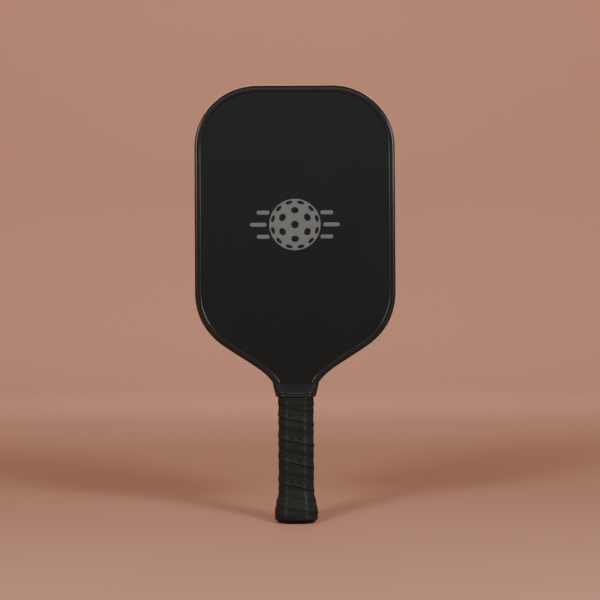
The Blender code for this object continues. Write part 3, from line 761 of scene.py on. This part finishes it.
class Finish:
    """A Principled material and short calls that add nodes to it."""

    def __init__(self, name, tint=COOL, **uniform):
        self.material = bpy.data.materials.new(name)
        self.material.use_nodes = True
        self.tree = self.material.node_tree
        self.shader = self.tree.nodes["Principled BSDF"]
        self.shader.inputs["Specular Tint"].default_value = (*tint, 1)
        for socket, value in uniform.items():
            self.shader.inputs[socket.replace("_", " ")].default_value = value
        self.coords = self.add("ShaderNodeTexCoord").outputs["Object"]

    def add(self, kind, inputs=None, **settings):
        made = self.tree.nodes.new(kind)
        for key, value in settings.items():
            setattr(made, key, value)
        for key, value in (inputs or {}).items():
            socket = made.inputs[key]
            if hasattr(value, "is_output"):
                self.tree.links.new(value, socket)
            else:
                socket.default_value = value
        return made

    def axes(self):
        return self.add("ShaderNodeSeparateXYZ", {0: self.coords}).outputs

    def noise(self, scale, detail, roughness=0.55, stretch=None):
        vector = self.coords
        if stretch is not None:
            inputs = {"Vector": self.coords, "Scale": stretch}
            vector = self.add("ShaderNodeMapping", inputs).outputs[0]
        inputs = {"Vector": vector, "Scale": scale, "Detail": detail, "Roughness": roughness}
        return self.add("ShaderNodeTexNoise", inputs).outputs["Fac"]

    def cells(self, scale):
        inputs = {"Vector": self.coords, "Scale": scale}
        return self.add("ShaderNodeTexVoronoi", inputs, feature="F1").outputs["Distance"]

    def attribute(self, name):
        return self.add("ShaderNodeAttribute", attribute_name=name).outputs["Fac"]

    def math(self, operation, a, b=0.0):
        return self.add("ShaderNodeMath", {0: a, 1: b}, operation=operation).outputs[0]

    def ramp(self, value, spread, to):
        inputs = {"Value": value, 1: spread[0], 2: spread[1], 3: to[0], 4: to[1]}
        return self.add("ShaderNodeMapRange", inputs).outputs[0]

    def mix(self, factor, a, b):
        """A colour from a, which is a colour or an output, to the colour b."""
        a = a if hasattr(a, "is_output") else (*a, 1)
        made = self.add("ShaderNodeMix", {0: factor, 6: a, 7: (*b, 1)}, data_type="RGBA")
        return made.outputs[2]

    def colour_from(self, output):
        self.tree.links.new(output, self.shader.inputs["Base Color"])

    def roughness_from(self, output):
        self.tree.links.new(output, self.shader.inputs["Roughness"])

    def bumps(self, *layers):
        """Each layer is (height, strength, distance)."""
        normal = None
        for height, strength, distance in layers:
            inputs = {"Height": height, "Strength": strength, "Distance": distance}
            if normal is not None:
                inputs["Normal"] = normal
            normal = self.add("ShaderNodeBump", inputs).outputs[0]
        self.tree.links.new(normal, self.shader.inputs["Normal"])


def face_finish(name):
    """Matt carbon laminate: peel-ply weave, tow shadows and a sprayed grit."""
    finish = Finish(name, Specular_IOR_Level=0.24)
    x, _, z = finish.axes()
    weave = []
    for axis in (x, z):
        wave = finish.math("SINE", finish.math("MULTIPLY", axis, TAU / WEAVE_PITCH))
        weave.append(finish.math("MULTIPLY", wave, 0.5))
    weave = finish.math("MULTIPLY", weave[0], weave[1])
    grit = finish.noise(5200.0, 3.0)
    tows = finish.noise(1.0, 2.0, stretch=(260.0, 260.0, 14.0))
    clouds = finish.noise(26.0, 3.0)
    shade = finish.ramp(finish.math("ADD", tows, clouds), TWO_NOISES_SPREAD, UNIT)
    finish.colour_from(finish.mix(shade, *FACE_BLACKS))
    worn = finish.math("ADD", grit, clouds)
    finish.roughness_from(finish.ramp(worn, TWO_NOISES_SPREAD, (0.40, 0.50)))
    finish.bumps((weave, 0.25, 0.00006), (grit, 0.35, 0.00005))
    return finish.material


def guard_finish():
    """Satin moulded thermoplastic with a fine spark texture and faint handling smears."""
    finish = Finish("guard_moulded", Specular_IOR_Level=0.16, Coat_Weight=0.40, Coat_Roughness=0.16)
    smear = finish.noise(34.0, 4.0)
    spark = finish.noise(3600.0, 2.0)
    finish.roughness_from(finish.ramp(smear, NOISE_SPREAD, (0.36, 0.46)))
    finish.colour_from(finish.mix(smear, *GUARD_BLACKS))
    finish.bumps((spark, 0.22, 0.00003))
    return finish.material


def grip_finish():
    """Synthetic leather: fine pebble, creases, rubbed ridges and pores darkened with painted shade."""
    finish = Finish("grip_synthetic_leather", tint=MOSSY, Specular_IOR_Level=0.34)
    pebble = finish.cells(1500.0)
    crease = finish.noise(420.0, 6.0, 0.65)
    worn = finish.noise(70.0, 4.0)
    tone = finish.mix(finish.ramp(worn, NOISE_SPREAD, UNIT), *GRIP_BLACKS)
    # The pores are darkened towards near-black: painted shade for the depth of the holes.
    finish.colour_from(finish.mix(finish.attribute("pore"), tone, PORE_SHADE_BLACK))
    rubbed = finish.math("ADD", crease, worn)
    finish.roughness_from(finish.ramp(rubbed, TWO_NOISES_SPREAD, (0.46, 0.60)))
    pebbled = finish.attribute("pebbled")
    pebble = finish.math("MULTIPLY", pebble, pebbled)
    crease = finish.math("MULTIPLY", crease, pebbled)
    finish.bumps((pebble, 0.32, 0.00018), (crease, 0.36, 0.00020))
    return finish.material


def moulded_finish(name, colour, roughness, scale, strength):
    """Moulded rubber or plastic with a fine texture."""
    finish = Finish(name, Specular_IOR_Level=0.25)
    cloud = finish.noise(60.0, 3.0)
    grain = finish.noise(scale, 3.0)
    finish.colour_from(finish.mix(cloud, colour, tuple(c * 1.25 for c in colour)))
    finish.roughness_from(finish.ramp(cloud, NOISE_SPREAD, (roughness - 0.05, roughness + 0.06)))
    finish.bumps((grain, strength, 0.00005))
    return finish.material


def collar_finish():
    """Matt rubber with polished beads along its lower rim."""
    finish = Finish("collar_rubber", Specular_IOR_Level=0.24)
    z = finish.axes()[2]
    cloud = finish.noise(60.0, 3.0)
    grain = finish.noise(1800.0, 3.0)
    finish.colour_from(finish.mix(cloud, *COLLAR_BLACKS))
    matt = finish.ramp(z, (BEADS_TOP, BEADS_TOP + BEADS_FADE), UNIT)
    worn = finish.ramp(cloud, NOISE_SPREAD, (0.58, 0.70))
    polished = finish.math("MULTIPLY", BEAD_POLISH, finish.math("SUBTRACT", 1.0, matt))
    finish.roughness_from(finish.math("ADD", finish.math("MULTIPLY", worn, matt), polished))
    finish.bumps((grain, 0.3, 0.00005))
    return finish.material


def ink_finish():
    finish = Finish("printed_ink", Specular_IOR_Level=0.4)
    mottle = finish.noise(900.0, 3.0)
    cloud = finish.noise(40.0, 2.0)
    finish.colour_from(finish.mix(mottle, *INK_GREYS))
    finish.roughness_from(finish.ramp(cloud, NOISE_SPREAD, (0.48, 0.62)))
    finish.bumps((mottle, 0.15, 0.00003))
    return finish.material


def fibre_finish(name, colours, roughness, scale, stretch=None):
    """Fibrous or foamed inner materials."""
    finish = Finish(name, Roughness=roughness)
    fibre = finish.noise(scale, 5.0, 0.7, stretch)
    finish.colour_from(finish.mix(finish.ramp(fibre, NOISE_SPREAD, UNIT), *colours))
    finish.bumps((fibre, 0.5, 0.0001))
    return finish.material


def wire_finish(name):
    finish = Finish(name, tint=WHITE, Base_Color=(0.62, 0.62, 0.60, 1), Metallic=1.0)
    drawn = finish.noise(1.0, 3.0, stretch=(200.0, 9000.0, 9000.0))
    finish.roughness_from(finish.ramp(drawn, NOISE_SPREAD, (0.22, 0.42)))
    return finish.material


def dress(obj, material):
    obj.data.materials.clear()
    obj.data.materials.append(material)


def dress_node(name, material):
    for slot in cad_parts[name].material_slots:
        slot.material = material


# ---- studio -------------------------------------------------------------------------------------

SKY = (0.75, 0.92, 1.0)
WARM, PAPER_WARM = (1.0, 0.96, 0.90), (1.0, 0.96, 0.93)
AIM = (0, 0, 0.22)
AIR_COLOUR, AIR_STRENGTH = (1.0, 0.93, 0.90, 1), 0.12
STAGE_RADIUS, STAGE_BEND, STAGE_HEIGHT = 2.5, 1.3, 2.6
STAGE_POINTS, FLOOR_RINGS, BEND_RINGS = 128, 14, 16
STAGE_OPENING, STAGE_FIRST_RING = -0.0014, 0.05
STAGE_COLOUR = (0.574, 0.304, 0.217)


def make_stage():
    """A pale floor that turns up into a wall all round.

    It is open under the foot, where the foot hides it from above, so that light reaches the cap. It
    is clear from behind, so that the paddle shows from below.
    """
    share = np.linspace(0, 1, STAGE_POINTS, endpoint=False)
    turn = -math.pi / 2 - share * TAU
    profile = [(radius, 0.0) for radius in np.linspace(STAGE_FIRST_RING, STAGE_RADIUS, FLOOR_RINGS)]
    for step in range(1, BEND_RINGS + 1):
        a = math.radians(90 * step / BEND_RINGS)
        profile.append((STAGE_RADIUS + STAGE_BEND * math.sin(a), STAGE_BEND * (1 - math.cos(a))))
    profile.append((STAGE_RADIUS + STAGE_BEND, STAGE_HEIGHT))
    rings = [at_height(HANDLE.points(share, STAGE_OPENING), 0.0)]
    rings += [at_height(circle(radius, turn), z) for radius, z in profile]
    mesh = bpy.data.meshes.new("studio_floor")
    verts = [tuple(v) for v in np.concatenate(rings)]
    mesh.from_pydata(verts, [], loft_faces(len(rings), STAGE_POINTS))
    mesh.shade_smooth()
    floor = show("studio_floor", mesh)
    finish = Finish("studio_paper", tint=WHITE, Roughness=0.85, Specular_IOR_Level=0.0)
    cloud = finish.noise(1.2, 2.0)
    finish.colour_from(finish.mix(cloud, STAGE_COLOUR, tuple(c * 1.02 for c in STAGE_COLOUR)))
    clear = finish.add("ShaderNodeBsdfTransparent").outputs[0]
    behind = finish.add("ShaderNodeNewGeometry").outputs["Backfacing"]
    shown = finish.shader.outputs[0]
    both = finish.add("ShaderNodeMixShader", {0: behind, 1: shown, 2: clear}).outputs[0]
    finish.tree.links.new(both, finish.tree.nodes["Material Output"].inputs["Surface"])
    dress(floor, finish.material)


def add_softbox(name, place, target, size, watts, colour, diffuse=True, glossy=True, spread=180):
    """A rectangular lamp that the camera doesn't see. Size is width and height, spread is an angle."""
    data = bpy.data.lights.new(name, "AREA")
    data.shape = "RECTANGLE"
    data.size, data.size_y = size
    data.energy = watts
    data.spread = math.radians(spread)
    data.color = colour
    lamp = show(name, data)
    lamp.location = place
    lamp.visible_camera = False
    lamp.visible_diffuse = diffuse
    lamp.visible_glossy = glossy
    lamp.rotation_euler = (Vector(target) - Vector(place)).to_track_quat("-Z", "Y").to_euler()


def light_studio():
    world = bpy.data.worlds.new("studio_air")
    world.use_nodes = True
    air = world.node_tree.nodes["Background"]
    air.inputs["Color"].default_value = AIR_COLOUR
    air.inputs["Strength"].default_value = AIR_STRENGTH
    bpy.context.scene.world = world
    # Narrow reflections down the sides, then the two lamps that throw the shadows.
    for name, side, watts in (("left_strip", -1, 18), ("right_strip", 1, 23)):
        place = (side * 1.47, -1.15, 0.78)
        add_softbox(name, place, AIM, (0.30, 0.75), watts, WARM, diffuse=False)
    for name, place in (("left_key", (-0.85, -1.82, 1.15)), ("right_key", (1.02, -1.73, 1.30))):
        add_softbox(name, place, AIM, (0.45, 0.45), 26, WARM, glossy=False)
    add_softbox("high_fill", (0, -1.3, 2.35), AIM, (2.4, 1.0), 0.35, WARM)
    add_softbox("front_fill", (0, -2.4, 1.25), AIM, (1.6, 0.6), 11, WARM)
    add_softbox("rear_fill", (0, 2.7, 1.9), AIM, (2.4, 1.4), 13, WARM)
    # The paper behind and in front, lit from over the paddle.
    for name, height, watts in (("wall_wash", 2.6, 35), ("bend_wash", 1.7, 10), ("floor_wash", 0.9, 10)):
        add_softbox(name, (0, 0.75, 1.6), (0, 3.55, height), (1.6, 0.6), watts, PAPER_WARM)
    add_softbox("front_wash", (0, -0.75, 1.7), (0, -3.55, 2.4), (1.6, 0.6), 24, WARM)
    # Reflections for the rear, light for the underside and a cool fill from both sides.
    add_softbox("rear_sheen", (0, 2.4, 1.25), AIM, (1.8, 0.7), 22, WARM, diffuse=False)
    add_softbox("foot_light", (0.2, -0.25, -0.75), (0, 0, 0), (0.5, 0.5), 4.0, WARM, spread=60)
    for side in (-1, 1):
        place = (side * 1.2, 1.7, 1.15)
        add_softbox(f"rear_strip{side}", place, AIM, (0.3, 1.4), 6, WARM, diffuse=False)
    for side, watts in ((-1, 2), (1, 4)):
        add_softbox(f"side_fill{side}", (side * 2.4, 0.2, 1.3), AIM, (1.6, 1.6), watts, SKY)


# ---- build --------------------------------------------------------------------------------------

guard = make_guard()
grip = make_grip()
collar = make_collar()
cap = make_cap()
badge = make_badge()
marks = [make_mark("front_print", -1), make_mark("rear_print", 1)]

dress(guard, guard_finish())
dress(grip, grip_finish())
dress(collar, collar_finish())
dress(cap, moulded_finish("cap_moulded", (0.0042, 0.0052, 0.0053), 0.45, 1400.0, 0.3))
dress(badge, moulded_finish("badge_film", (0.022, 0.022, 0.023), 0.25, 3000.0, 0.1))
for mark in marks:
    dress(mark, ink_finish())
for side in ("front", "rear"):
    dress_node(side + "_face_sheet", face_finish(side + "_carbon"))
    dress_node(side + "_scrim", fibre_finish(side + "_veil", VEIL_GREYS, 0.9, 900.0))
    dress_node("handle_shell_" + side, fibre_finish(side + "_foam", FOAM_GREYS, 0.85, 1300.0))
    dress_node("butt_staple_" + side, wire_finish(side + "_wire"))
core = fibre_finish("polypropylene", CORE_WHITES, 0.45, 500.0, (1.0, 0.1, 1.0))
paper = fibre_finish("tape_paper", PAPER_TANS, 0.8, 1500.0, (1.0, 1.0, 0.2))
vinyl = moulded_finish("finishing_vinyl", (0.013, 0.013, 0.013), 0.38, 900.0, 0.2)
dress_node("honeycomb_core", core)
dress_node("guard_bond_tape", paper)
dress_node("grip_finishing_tape", vinyl)

make_stage()
light_studio()

bpy.context.view_layer.update()
